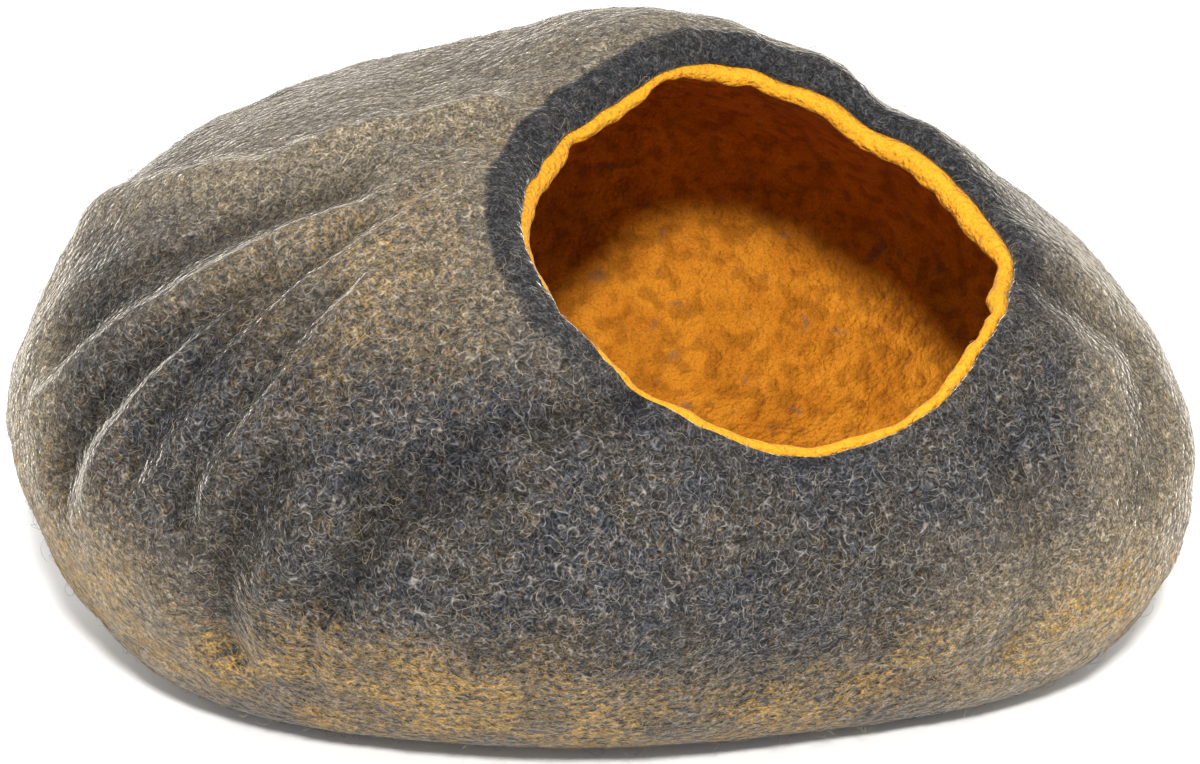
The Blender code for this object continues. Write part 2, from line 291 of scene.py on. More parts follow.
# Fibres drawn in a material: the distance between them, how wide they are, a seed, how strongly they show at
# least, and how much more where their wool lies thick
Fibre = namedtuple("Fibre", "pitch width seed least gain", defaults=(0.0,))
DARK_FIBRES = Fibre(0.0024, 0.085, 4.0, 0.60)
GREY_FIBRES = Fibre(0.0020, 0.075, 5.0, 0.60)
STEEL_FIBRES = Fibre(0.0034, 0.055, 6.0, 0.50)
PALE_FIBRES = Fibre(0.0030, 0.060, 7.0, 0.42, 0.50)
LONG_PALE_FIBRES = Fibre(0.0058, 0.028, 8.0, 0.58, 0.30)
OCHRE_FIBRES = Fibre(0.0027, 0.090, 9.0, 0.03, 0.90)
LONG_OCHRE_FIBRES = Fibre(0.0052, 0.042, 10.0, 0.10, 1.00)
LIGHT_INSIDE_FIBRES = Fibre(0.0034, 0.050, 5.0, 0.25)
DARK_INSIDE_FIBRES = Fibre(0.0028, 0.055, 6.0, 0.25)

# Mottling: the distance from patch to patch and a seed, then two levels of the noise and the value at each
Mottle = namedtuple("Mottle", "pitch seed low high at_low at_high", defaults=(0.0, 1.0, 0.0, 1.0))
FIBRE_GAPS = Mottle(0.0075, 0.37, 0.42, 0.56)
CHARCOAL_CLOUDS = Mottle(0.034, 1.0, 0.40, 0.60)
CHARCOAL_TUFTS = Mottle(0.0030, 2.0, 0.30, 0.70, 0.75, 1.25)
CHARCOAL_GRAIN = Mottle(0.0010, 3.0, 0.25, 0.75, 0.65, 1.35)
OCHRE_TUFTS = CHARCOAL_TUFTS._replace(low=0.30, high=0.65, at_low=0.0, at_high=0.60)
INSIDE_CLOUDS = Mottle(0.022, 1.0, 0.35, 0.65, 0.0, 0.60)
# Painted shade: burnt ochre in the hollows of the inside lumps
INSIDE_HOLLOW_SHADE = Mottle(0.0070, 2.0, 0.55, 0.30, 0.0, 0.45)
INSIDE_TUFTS = Mottle(0.0023, 3.0)
INSIDE_GRAIN = Mottle(0.0010, 4.0, 0.25, 0.75, 0.90, 1.10)
INSIDE_SPECKS = Mottle(0.009, 7.0, 0.68, 0.86, 0.0, 0.45)
STRAY_TONES = Mottle(0.011, 1.0, 0.40, 0.60)
STRAY_SHADES = Mottle(0.0012, 2.0, 0.30, 0.70, 0.85, 1.15)

# How strongly pale wool with its painted light and the lip cover what is under them, and how dark the
# painted shade in the creases is. Lines are weaker on the lip and stronger inside the cave than their rows
# say, by these factors
PALE_GROUND = 0.55
LIP_COVER = 0.85
CREASE_SHADE = 0.42
LIP_LINES = 0.75
BURNT_LINES = 1.2

# Shares of the relief
GRAIN_HEIGHT = 0.35
INSIDE_LUMP_HEIGHT = 1.6
INSIDE_TUFT_HEIGHT = 0.9

# Shapes of a loose strand: its length, how far it turns and sways in degrees, and how high it arches. Each
# kind has a number of points along a strand and a radius
Strand = namedtuple("Strand", "length turn sway arch")
StrandKind = namedtuple("StrandKind", "name points radius strands")
LYING_STRANDS = StrandKind("lying_strand", 6, 0.00008, (
    Strand(0.011, 110, 25, 0.0007),
    Strand(0.014, 60, 60, 0.0009),
    Strand(0.009, 190, 0, 0.0006),
    Strand(0.013, -90, 40, 0.0008),
    Strand(0.016, 30, -70, 0.0010),
    Strand(0.010, -160, 20, 0.0007),
))
LOOSE_STRANDS = StrandKind("loose_strand", 9, 0.00009, (
    Strand(0.016, 150, 40, 0.0045),
    Strand(0.013, 230, 0, 0.0035),
    Strand(0.018, 60, 90, 0.0055),
    Strand(0.014, -200, 30, 0.0040),
))
CURLY_STRANDS = StrandKind("curly_strand", 13, 0.00011, (
    Strand(0.020, 300, 30, 0.0060),
    Strand(0.026, 120, 110, 0.0080),
    Strand(0.017, -230, 50, 0.0050),
    Strand(0.023, -80, -120, 0.0070),
))
STRAND_SINK = 0.0004
STRAND_SIDES = 3

# Stray wool: its piece's name, the painted value that it follows, how many strands, how small and how large,
# how far they lean in degrees and a seed
Stray = namedtuple("Stray", "name share count smallest largest lean seed")
PALE_STRAYS = Stray("pale_strands", "plain_share", 6000, 0.4, 0.95, 8, 3)
GREY_STRAYS = Stray("grey_strands", "plain_share", 6500, 0.4, 0.95, 8, 5)
OCHRE_STRAYS = Stray("ochre_strands", "ochre_share", 7000, 0.4, 0.95, 8, 7)
GUARD_HAIRS = Stray("guard_hairs", "plain_share", 1500, 0.3, 0.9, 35, 11)
INSIDE_STRAYS = Stray("inside_strands", "near_rim", 650, 0.4, 1.0, 30, 13)

# The studio: a wide pale floor, a white surround and soft lights, each with its place, what it points at,
# its size, its power and its colour
FLOOR_SIZE = 12.0
FLOOR_COLOUR = (0.96, 0.96, 0.96)
FLOOR_ROUGHNESS = 0.7
FLOOR_GLOSS = 0.2
SKY_COLOUR = (1.0, 1.0, 1.0)
SKY_STRENGTH = 0.78
Light = namedtuple("Light", "name place target size power colour")
LIGHTS = (
    Light("key_light", (0.05, -1.60, 1.41), (0.05, -0.03, 0.08), 0.20, 52.0, (1.0, 0.98, 0.95)),
    Light("top_light", (-0.3, 0.9, 1.6), (0.0, 0.0, 0.1), 1.2, 8.0, (1.0, 0.97, 0.92)),
)

# The camera: how high it looks from, how far it stands, what it aims at and its lens
CAMERA_ELEVATION = math.radians(25.0)
CAMERA_DISTANCE = 1.30
CAMERA_AIM = (0.0005, -0.0031, 0.1014)
SENSOR_WIDTH = 36.0
PHOTO_WIDTH = 1200.0
FOCAL_PIXELS = 3094.0

# Large odd numbers that scatter the corners of a lattice, how they fold, and the size of what they give
SCATTER = (73856093, 19349663, 83492791)
SCATTER_FOLD = 7
SCATTER_SIZE = 1 << 16

# A ring of the felt: fraction runs from 0 at the far side of the body to 1 at the lip, along is the distance
# up the lip, depth is measured inwards from the skin, relief is the share of the folds and fine of the lumps
Ring = namedtuple("Ring", "fraction along depth relief fine")


def unit(vectors):
    """The vectors at length 1."""
    return vectors / np.linalg.norm(vectors, axis=-1, keepdims=True)


def heading(azimuth, elevation):
    """The direction at an azimuth and an elevation in degrees."""
    around = math.radians(azimuth)
    up = math.radians(elevation)
    return np.array((math.cos(up) * math.cos(around), math.cos(up) * math.sin(around), math.sin(up)))


def dot(first, second):
    """The dot product along the last axis, kept as a column."""
    return np.sum(first * second, axis=-1, keepdims=True)


def angle_between(directions, other):
    """The angle in degrees from each direction to another one."""
    return np.degrees(np.arccos(np.clip(dot(directions, other), -1.0, 1.0)))


def azimuth_from(azimuth, middle):
    """How far azimuths lie from another one, from -180 to 180 degrees."""
    return np.mod(azimuth - middle + 180.0, 360.0) - 180.0


def smooth_step(values, low, high):
    """0 below low and 1 above high, with a soft rise between them."""
    share = np.clip((values - low) / (high - low), 0.0, 1.0)
    return share * share * (3.0 - 2.0 * share)


OPENING_AXIS = heading(OPENING_AZIMUTH, OPENING_ELEVATION)
UPHILL = unit(np.array((0.0, 0.0, 1.0)) - OPENING_AXIS * OPENING_AXIS[2])
RIGHTWARD = np.cross(UPHILL, OPENING_AXIS)


def body_reach(directions):
    """How far the plain body reaches from its middle: a rounded block with its own size on each side."""
    x, y, z = np.split(np.abs(directions), 3, axis=-1)
    across = np.where(directions[..., 0:1] < 0.0, LEFT_REACH, RIGHT_REACH)
    below = directions[..., 2:3] < 0.0
    tall = np.where(below, UNDER_REACH, TOP_REACH)
    power = np.where(below, UNDER_ROUNDNESS, TOP_ROUNDNESS)
    plan = (x / across) ** PLAN_ROUNDNESS + (y / DEEP_REACH) ** PLAN_ROUNDNESS
    return (plan ** (power / PLAN_ROUNDNESS) + (z / tall) ** power) ** (-1.0 / power)


def settled(height):
    """A height above the floor, eased to exactly 0 where the underside would hang below the floor."""
    eased = (height + SETTLE_HEIGHT) ** 2 / (4.0 * SETTLE_HEIGHT)
    return np.where(height > SETTLE_HEIGHT, height, np.where(height < -SETTLE_HEIGHT, 0.0, eased))


def smooth_skin(directions):
    """The skin without its folds, in each direction from the body's middle."""
    reach = body_reach(directions)
    for swell in SWELLS:
        angle = angle_between(directions, heading(swell.azimuth, swell.elevation))
        reach = reach + swell.height * np.exp(-((angle / swell.spread) ** 2))
    points = directions * reach
    points[..., 2:3] = settled(points[..., 2:3] + MIDDLE_HEIGHT)
    return points


def skin_normals(directions):
    """The outward normal of the smooth skin, from three close points on it."""
    helper = np.where(np.abs(directions[..., 2:3]) > STEEP, (1.0, 0.0, 0.0), (0.0, 0.0, 1.0))
    first = unit(np.cross(helper, directions))
    second = np.cross(directions, first)
    here = smooth_skin(directions)
    along_first = smooth_skin(unit(directions + NORMAL_STEP * first)) - here
    along_second = smooth_skin(unit(directions + NORMAL_STEP * second)) - here
    return unit(np.cross(along_first, along_second))


def angle_from_path(directions, path):
    """The angle in degrees from each direction to the nearest point of a path of directions."""
    nearest = np.inf
    for start, end in zip(path, path[1:]):
        span = end - start
        share = np.clip(dot(directions - start, span) / np.dot(span, span), 0.0, 1.0)
        nearest = np.minimum(nearest, angle_between(directions, unit(start + share * span)))
    return nearest


def fold_height(directions, folds):
    """How far the folds lift or sink the skin."""
    height = np.zeros(directions.shape[:-1] + (1,))
    for fold in folds:
        path = [heading(*fold.start), heading(*fold.middle), heading(*fold.end)]
        angle = angle_from_path(directions, path)
        height = height + fold.height * np.exp(-((angle / fold.half_width) ** 2))
    return height * smooth_step(smooth_skin(directions)[..., 2:3], 0.0, FOLD_FADE_HEIGHT)


def rim_value(column, turn):
    """A column of the rim table at any turn in degrees, on a smooth closed curve through its rows."""
    values = np.array([getattr(row, column) for row in RIM])
    place = np.mod(turn, 360.0) / 360.0 * len(RIM)
    row = np.floor(place).astype(int)
    share = place - row
    before, here, after, beyond = (values[(row + step) % len(RIM)] for step in (-1, 0, 1, 2))
    slope = (after - before) / 2.0
    next_slope = (beyond - here) / 2.0
    rest = after - here
    return (
        here
        + slope * share
        + (3.0 * rest - 2.0 * slope - next_slope) * share**2
        + (slope + next_slope - 2.0 * rest) * share**3
    )


def lattice_noise(points, pitch):
    """Smooth unevenness from -1 to 1, with about the given distance from lump to lump."""
    place = points / pitch
    cell = np.floor(place).astype(np.int64)
    share = smooth_step(place - cell, 0.0, 1.0)
    total = np.zeros(points.shape[:-1])
    for corner in itertools.product((0, 1), repeat=3):
        scattered = np.bitwise_xor.reduce((cell + corner) * SCATTER, axis=-1)
        scattered = (scattered * scattered + (scattered >> SCATTER_FOLD)) % SCATTER_SIZE
        weight = np.prod(np.where(corner, share, 1.0 - share), axis=-1)
        total += weight * (2.0 * scattered / SCATTER_SIZE - 1.0)
    return total


def lump_height(points, lumps):
    """How far lumps of wool lift or sink a surface."""
    return sum(lump.height * lattice_noise(points, lump.pitch) for lump in lumps)[..., None]


def rim_lumps(turn, lumps):
    """Unevenness round the opening at each turn."""
    around = np.radians(np.ravel(turn))
    circle = OPENING_RADIUS * np.stack((np.cos(around), np.sin(around), np.zeros_like(around)), axis=-1)
    return lump_height(circle, lumps)


def wrinkle_height(directions):
    """Small wrinkles that run down the creased side, narrow across and long along it."""
    azimuth = np.degrees(np.arctan2(directions[..., 1:2], directions[..., 0:1]))
    elevation = np.degrees(np.arcsin(np.clip(directions[..., 2:3], -1.0, 1.0)))
    beside = azimuth_from(azimuth, WRINKLE_MIDDLE[0])
    above = elevation - WRINKLE_MIDDLE[1]
    across = beside * math.cos(WRINKLE_SLANT) - above * math.sin(WRINKLE_SLANT)
    along = beside * math.sin(WRINKLE_SLANT) + above * math.cos(WRINKLE_SLANT)
    place = np.concatenate((across, along / WRINKLE_STRETCH, np.zeros_like(across)), axis=-1)
    window = np.exp(-((beside / WRINKLE_SPREAD[0]) ** 2) - (above / WRINKLE_SPREAD[1]) ** 2)
    return window * lump_height(place, WRINKLES)


def felt_points(turn, ring, lumps):
    """Points of the felt on one ring, at each turn round the opening."""
    turn = np.asarray(turn)[..., None]
    half_angle = np.radians(rim_value("half_angle", turn))
    away = math.pi - ring.fraction * (math.pi - half_angle)
    outward = UPHILL * np.cos(np.radians(turn)) + RIGHTWARD * np.sin(np.radians(turn))
    directions = OPENING_AXIS * np.cos(away) + outward * np.sin(away)
    normals = skin_normals(directions)
    inward = OPENING_AXIS * np.sin(away) - outward * np.cos(away)
    inward = unit(inward - normals * dot(inward, normals))

    curl = np.radians(rim_value("curl", turn))
    bent = curl * np.clip(ring.along / LIP_BEND, 0.0, 1.0)
    straight = np.maximum(ring.along - LIP_BEND, 0.0)
    forward = LIP_BEND * np.sin(bent) / curl + straight * np.cos(curl)
    drop = LIP_BEND * (1.0 - np.cos(bent)) / curl + straight * np.sin(curl)

    skin = smooth_skin(directions)
    crest = rim_value("crest", turn) * np.exp(-(((1.0 - ring.fraction) / CREST_SPREAD) ** 2))
    crest = crest * (1.0 + rim_lumps(turn, CREST_LUMPS))
    folds = fold_height(directions, FOLDS)
    lift = crest + ring.relief * folds
    fade = smooth_step(skin[..., 2:3], 0.0, FOLD_FADE_HEIGHT)
    fine = fold_height(directions, FINE_FOLDS) + wrinkle_height(directions) + lump_height(skin, lumps)
    room = FINE_LIMIT + (SKIN_RELIEF - MIDDLE_RELIEF) * np.minimum(folds, 0.0)
    room = np.maximum(room, FINE_LEAST)
    lift = lift + room * np.tanh(ring.fine * fade * fine / room)
    lip_normals = normals * np.cos(bent) + inward * np.sin(bent)
    return skin + inward * forward + normals * (lift - drop) - lip_normals * ring.depth


def steps(count, first=0.0, last=1.0):
    """Even shares between two values, both included."""
    return np.linspace(first, last, count + 1)


def skin_fractions(rings):
    """Fractions of the way from the far side to the lip, a little closer together near the lip."""
    even = steps(rings)
    return even + RING_CROWDING * np.sin(math.pi * even) * even


def edge_reach(turn):
    """How far up the lip the charcoal's rounded edge starts, uneven as the scissors left it."""
    return rim_value("lip", turn)[:, None] + rim_lumps(turn, EDGE_LUMPS) - OUTER_FELT / 2.0


def outer_felt_rings(turn):
    """The charcoal layer: up the skin, round the cut edge and back down its inner side."""
    edge = OUTER_FELT / 2.0
    reach = edge_reach(turn)
    rings = [Ring(fraction, 0.0, 0.0, SKIN_RELIEF, 1.0) for fraction in skin_fractions(SKIN_RINGS)]
    rings += [Ring(1.0, share * reach, 0.0, SKIN_RELIEF, 1.0) for share in steps(LIP_RINGS)[1:]]
    for bend in steps(EDGE_RINGS, 0.0, math.pi)[1:-1]:
        depth = edge - edge * math.cos(bend)
        fine = 1.0 - depth / OUTER_FELT
        rings.append(Ring(1.0, reach + edge * math.sin(bend), depth, MIDDLE_RELIEF, fine))
    rings += [Ring(1.0, share * reach, OUTER_FELT, MIDDLE_RELIEF, 0.0) for share in steps(LIP_RINGS)[:0:-1]]
    for fraction in skin_fractions(BACKING_RINGS)[::-1]:
        rings.append(Ring(fraction, 0.0, OUTER_FELT, MIDDLE_RELIEF, 0.0))
    return rings


def inner_felt_rings(turn):
    """The ochre layer: up under the charcoal, round the rolled rim and back down the inside of the cave."""
    edge = OUTER_FELT / 2.0
    top = OUTER_FELT + LAYER_GAP
    bottom = top + INNER_FELT
    reach = edge_reach(turn)
    roll = rim_value("roll", turn)[:, None] * (1.0 + rim_lumps(turn, ROLL_LUMPS))
    rings = [Ring(fraction, 0.0, top, MIDDLE_RELIEF, 0.0) for fraction in skin_fractions(BACKING_RINGS)]
    rings += [Ring(1.0, share * reach, top, MIDDLE_RELIEF, 0.0) for share in steps(LIP_RINGS)[1:]]
    neck = edge + LAYER_GAP
    for bend in steps(NECK_RINGS, 0.0, NECK_TURN)[1:]:
        depth = edge + neck * math.cos(bend)
        rings.append(Ring(1.0, reach + neck * math.sin(bend), depth, MIDDLE_RELIEF, 0.0))
    roll_along = reach + (neck + roll) * math.sin(NECK_TURN)
    roll_depth = edge + (neck + roll) * math.cos(NECK_TURN)
    for bend in steps(ROLL_RINGS, NECK_TURN + math.pi, ROLL_END)[1:]:
        along = roll_along + roll * math.sin(bend)
        rings.append(Ring(1.0, along, roll_depth + roll * math.cos(bend), MIDDLE_RELIEF, 0.0))
    for share in steps(LIP_RINGS)[:0:-1]:
        rings.append(Ring(1.0, share * reach, bottom, INSIDE_RELIEF, INNER_LIP_FINE))
    for fraction in skin_fractions(INSIDE_RINGS)[::-1]:
        rings.append(Ring(fraction, 0.0, bottom, INSIDE_RELIEF, 1.0))
    return rings


def column_turns():
    """The turn of each column in degrees, closer together round the creased side."""
    even = np.arange(COLUMNS) * 360.0 / COLUMNS
    return even - np.degrees(CROWDING) * np.sin(np.radians(even - FOLDED_SIDE_TURN))


def layer_points(rings, turn, lumps):
    """A layer's points by ring and column, with each end ring drawn together to a pole."""
    points = np.array([felt_points(turn, ring, lumps) for ring in rings])
    for pole in (0, -1):
        points[pole] = points[pole].mean(axis=0)
    return points


def set_outwards(body):
    """Turns a closed body's faces outwards."""
    shape = bmesh.new()
    shape.from_mesh(body.data)
    bmesh.ops.recalc_face_normals(shape, faces=shape.faces)
    shape.to_mesh(body.data)
    shape.free()


def felt_body(name, points, middle):
    """A closed body from rings of points, whose first and last rings are poles."""
    rings = len(points)
    inner_rings = points[1:-1].reshape(-1, 3)
    vertices = np.concatenate((points[:1, 0], inner_rings, points[-1:, 0])) - middle
    last = len(vertices) - 1
    columns = np.arange(COLUMNS)
    after = (columns + 1) % COLUMNS
    start = 1 + np.arange(rings - 3)[:, None] * COLUMNS
    up = start + COLUMNS
    sides = np.stack((start + columns, start + after, up + after, up + columns), axis=-1)
    end = 1 + (rings - 3) * COLUMNS
    first_cap = np.stack((np.zeros_like(columns), 1 + after, 1 + columns), axis=-1)
    last_cap = np.stack((np.full_like(columns, last), end + columns, end + after), axis=-1)
    faces = sides.reshape(-1, 4).tolist() + first_cap.tolist() + last_cap.tolist()
    mesh = bpy.data.meshes.new(name)
    mesh.from_pydata(vertices.tolist(), [], faces)
    mesh.update()
    mesh.shade_smooth()
    body = bpy.data.objects.new(name, mesh)
    bpy.context.scene.collection.objects.link(body)
    set_outwards(body)
    return body


def paint(body, name, values):
    """A value at each point of a body, which its material and its stray wool read."""
    attribute = body.data.attributes.new(name, "FLOAT", "POINT")
    attribute.data.foreach_set("value", np.asarray(values, np.float32).ravel())


def by_vertex(values):
    """Values by ring and column, in the order of a felt body's points."""
    return np.concatenate((values[0, :1], values[1:-1].ravel(), values[-1, :1]))


def corners_of(body):
    """The points of a body."""
    points = np.empty(len(body.data.vertices) * 3, np.float32)
    body.data.vertices.foreach_get("co", points)
    return points.reshape(-1, 3).astype(float)


def ring_values(rings, value_of):
    """One value for each ring, by ring and column."""
    return np.array([[float(value_of(ring))] * COLUMNS for ring in rings])


def ochre_share(points):
    """How thick the ochre wool lies on the charcoal, from 0 to 1."""
    azimuth = np.degrees(np.arctan2(points[:, 1], points[:, 0]))
    share = np.zeros(len(points))
    for patch in OCHRE_PATCHES:
        beside = azimuth_from(azimuth, patch.azimuth) / patch.half_width
        above = (points[:, 2] - patch.height) / patch.half_height
        share += patch.share * np.exp(-(beside**2) - above**2)
    broken = smooth_step(lattice_noise(points, PATCH_PITCH), *PATCH_BREAK)
    return np.clip(share * (PATCH_LEAST + (1.0 - PATCH_LEAST) * broken), 0.0, 1.0)


def pale_share(points, upward, folded):
    """How pale the wool looks, from 0 to 1: paler on top, on the ridges and at both ends, partly pale wool
    and partly painted light.
    """
    reach = np.maximum(-points[:, 0], points[:, 0] + RIGHT_END_SHIFT)
    low_ends = smooth_step(reach, *PALE_LOW_END) * smooth_step(points[:, 2], *PALE_LOW_HEIGHT)
    ends = np.maximum(smooth_step(reach, *PALE_END), LOW_END_PALE_AND_LIGHT * low_ends)
    top = TOP_PALE_AND_LIGHT * smooth_step(upward, *PALE_NORMAL)
    ridges = RIDGE_PALE_AND_LIGHT * smooth_step(folded, *PALE_RIDGE)
    return np.clip(top + ends + ridges, 0.0, 1.0)


def paint_charcoal(body, points_by_ring, rings, turn, middle):
    """What the charcoal wool's material and its stray wool read."""
    fraction = ring_values(rings, lambda ring: ring.fraction)
    border = BORDER_WANDER * lattice_noise(points_by_ring, BORDER_PITCH)
    lip = by_vertex(smooth_step(fraction + border, *BAND) * rim_value("band", turn))
    shown = by_vertex(ring_values(rings, lambda ring: ring.fine > 0.0))
    points = corners_of(body)
    directions = unit(points + middle - np.array((0.0, 0.0, MIDDLE_HEIGHT)))
    upward = skin_normals(directions)[:, 2]
    folded = fold_height(directions, FOLDS + FINE_FOLDS) + wrinkle_height(directions)
    folded = folded[:, 0]
    paint(body, "lip", lip)
    paint(body, "ochre_share", ochre_share(points) * (1.0 - lip) * shown)
    # Pale wool with painted light: paler on top where the skin faces up, on the ridges and at both ends
    paint(body, "pale_share", pale_share(points, upward, folded) * (1.0 - lip) * shown)
    paint(body, "plain_share", shown * smooth_step(points[:, 2], *STRAND_HEIGHT))
    # Painted shade: the creases darker by their depth
    paint(body, "crease", smooth_step(-folded, *CREASE_DEPTH))


def paint_ochre(body, rings):
    """What the ochre wool's material and its stray wool read."""
    paint(body, "rim", by_vertex(ring_values(rings, lambda ring: ring.fine == 0.0)))
    near_rim = ring_values(rings, lambda ring: (ring.fine > 0.0) * ring.fraction**RIM_FUZZ_FADE)
    paint(body, "near_rim", by_vertex(near_rim))


def build_felt():
    """Both felt layers, placed as the solids are: the middle of the cave's box above the origin."""
    turn = column_turns()
    outer_rings = outer_felt_rings(turn)
    inner_rings = inner_felt_rings(turn)
    outer = layer_points(outer_rings, turn, SKIN_LUMPS)
    inner = layer_points(inner_rings, turn, INSIDE_LUMPS)
    solid_low, solid_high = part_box("outer_felt")
    low = outer.min(axis=(0, 1))
    high = outer.max(axis=(0, 1))
    middle = (low + high) / 2.0 - np.array(solid_low + solid_high) / 2.0
    middle[2] = 0.0

    charcoal = felt_body("charcoal_wool", outer, middle)
    ochre = felt_body("ochre_wool", inner, middle)
    paint_charcoal(charcoal, outer, outer_rings, turn, middle)
    paint_ochre(ochre, inner_rings)
    return charcoal, ochre


class Value:
    """A number in a material, which sums can be written on."""

    def __init__(self, shader, socket):
        self.shader = shader
        self.socket = socket

    def maths(self, operation, first, second):
        """A Math node on two numbers or values."""
        return self.shader.node("ShaderNodeMath", {"operation": operation}, {0: first, 1: second})

    def __add__(self, other):
        return self.maths("ADD", self, other)

    __radd__ = __add__

    def __sub__(self, other):
        return self.maths("SUBTRACT", self, other)

    def __rsub__(self, other):
        return self.maths("SUBTRACT", other, self)

    def __mul__(self, other):
        return self.maths("MULTIPLY", self, other)

    __rmul__ = __mul__


class WoolShader:
    """A material's tree, from the texture coordinates to the Principled shader."""

    def __init__(self, name):
        self.material = bpy.data.materials.new(name)
        self.material.use_nodes = True
        self.tree = self.material.node_tree
        self.principled = self.tree.nodes["Principled BSDF"]
        self.place = self.node("ShaderNodeTexCoord", output="Object")

    def node(self, kind, settings=None, inputs=None, output=0):
        """Adds a node with its settings and its sockets' values or links, and gives one of its outputs."""
        added = self.tree.nodes.new(kind)
        for setting, value in (settings or {}).items():
            setattr(added, setting, value)
        for key, value in (inputs or {}).items():
            self.fill(added.inputs[key], value)
        return Value(self, added.outputs[output])

    def fill(self, socket, value):
        """Links a value to a socket, or sets it there."""
        if isinstance(value, Value):
            self.tree.links.new(value.socket, socket)
        elif isinstance(value, tuple) and len(socket.default_value) == 4:
            socket.default_value = (*value, 1.0)
        else:
            socket.default_value = value

    def attribute(self, name):
        """A painted value."""
        return self.node("ShaderNodeAttribute", {"attribute_name": name}, output="Fac")

    def noise(self, row, place=None, detail=0.0, output="Fac"):
        """Noise with a row's distance from lump to lump and its seed."""
        moved = self.vector("ADD", place or self.place, (row.seed, row.seed / 2.0, -row.seed))
        inputs = {"Vector": moved, "Scale": 1.0 / row.pitch, "Detail": detail}
        return self.node("ShaderNodeTexNoise", {"noise_dimensions": "3D"}, inputs, output)

    def vector(self, operation, first, second):
        """A Vector Math node on two vectors."""
        return self.node("ShaderNodeVectorMath", {"operation": operation}, {0: first, 1: second})

    def fade(self, value, low, high, at_low=0.0, at_high=1.0):
        """A soft change from one number at low to another at high."""
        inputs = {"Value": value, "From Min": low, "From Max": high, "To Min": at_low, "To Max": at_high}
        return self.node("ShaderNodeMapRange", {"interpolation_type": "SMOOTHSTEP"}, inputs)

    def mix(self, share, first, second):
        """Two colours mixed."""
        settings = {"data_type": "RGBA", "clamp_factor": True}
        return self.node("ShaderNodeMix", settings, {0: share, 6: first, 7: second}, 2)

    def layered(self, colour, layers):
        """A colour under layers of wool, each with its share and its colour."""
        for share, layer in layers:
            colour = self.mix(share, colour, layer)
        return colour

    def brighten(self, colour, share):
        """A colour times a number."""
        return self.node("ShaderNodeVectorMath", {"operation": "SCALE"}, {0: colour, "Scale": share})

    def curled(self, curl):
        """The place, pushed about so that what is drawn there curls."""
        push = self.vector("SUBTRACT", self.noise(curl, output="Color"), (NOISE_MIDDLE,) * 3)
        return self.vector("ADD", self.place, self.vector("MULTIPLY", push, (curl.reach,) * 3))

    def fibres(self, place, fibre, thick=0.0):
        """Curly lines, stronger where their wool lies thick, and 0 beside them."""
        level = self.noise(fibre, place) - NOISE_MIDDLE
        line = self.fade(level.maths("ABSOLUTE", level, 0.0), fibre.width, 0.0)
        return line * (thick * fibre.gain + fibre.least)

    def mottled(self, noise, mottle):
        """What a mottle gives at each level of the noise."""
        return self.fade(noise, mottle.low, mottle.high, mottle.at_low, mottle.at_high)

    def finish(self, colour, height, roughness, relief, sheen):
        """Joins the colour and the relief to the shader. Sheen stands for the wool's fuzz."""
        bump = self.node("ShaderNodeBump", {}, {"Height": height, "Distance": relief}, "Normal")
        self.fill(self.principled.inputs["Base Color"], colour)
        self.fill(self.principled.inputs["Normal"], bump)
        self.principled.inputs["Roughness"].default_value = roughness
        self.principled.inputs["Sheen Weight"].default_value = sheen
        self.principled.inputs["Sheen Roughness"].default_value = SHEEN_ROUGHNESS
        self.principled.inputs["Sheen Tint"].default_value = (*SHEEN_TINT, 1.0)
        self.principled.inputs["Specular IOR Level"].default_value = WOOL_GLOSS
        return self.material


def charcoal_material():
    """Charcoal wool in mixed tones, with pale, grey and ochre fibres matted in and a plain dark lip, painted
    light where the wool turns pale and painted shade in the creases.
    """
    wool = WoolShader("charcoal_wool_felt")
    curls = wool.curled(CHARCOAL_CURLS)
    cloud = wool.noise(CHARCOAL_CLOUDS, detail=CLOUD_DETAIL)
    tuft = wool.noise(CHARCOAL_TUFTS)
    grain = wool.noise(CHARCOAL_GRAIN)
    ochre = wool.attribute("ochre_share")
    # Pale wool together with painted light on top, on the ridges and at both ends
    pale = wool.attribute("pale_share")
    gaps = wool.mottled(wool.noise(FIBRE_GAPS), FIBRE_GAPS)
    other_gaps = 1.0 - gaps
    grey_lines = wool.fibres(curls, GREY_FIBRES)
    # Pale fibres are warmer where the painted light is and cooler on the front
    pale_colour = wool.mix(pale, COOL_PALE_WOOL, PALE_WOOL)
    lip_colour = wool.mix(grey_lines * LIP_LINES, LIP_CHARCOAL, GREY_WOOL)
    layers = (
        (ochre * wool.mottled(tuft, OCHRE_TUFTS), OCHRE_FIBRE),
        (pale * PALE_GROUND, PALE_WOOL),
        (wool.fibres(curls, DARK_FIBRES), DARK_WOOL),
        (grey_lines, GREY_WOOL),
        (wool.fibres(curls, STEEL_FIBRES), STEEL_WOOL),
        (wool.fibres(curls, PALE_FIBRES, pale) * gaps, pale_colour),
        (wool.fibres(curls, OCHRE_FIBRES, ochre), OCHRE_FIBRE),
        (wool.fibres(curls, LONG_OCHRE_FIBRES, ochre) * gaps, OCHRE_FIBRE),
        (wool.fibres(curls, LONG_PALE_FIBRES, pale) * other_gaps, pale_colour),
        (wool.attribute("lip") * LIP_COVER, lip_colour),
    )
    ground = wool.mix(wool.mottled(cloud, CHARCOAL_CLOUDS), BLUE_CHARCOAL, BROWN_CHARCOAL)
    colour = wool.layered(ground, layers)
    colour = wool.brighten(colour, wool.mottled(grain, CHARCOAL_GRAIN))
    colour = wool.brighten(colour, wool.mottled(tuft, CHARCOAL_TUFTS))
    # Painted shade in the creases
    colour = wool.brighten(colour, 1.0 - wool.attribute("crease") * CREASE_SHADE)
    return wool.finish(colour, tuft + grain * GRAIN_HEIGHT, FELT_ROUGHNESS, FELT_RELIEF, CHARCOAL_SHEEN)


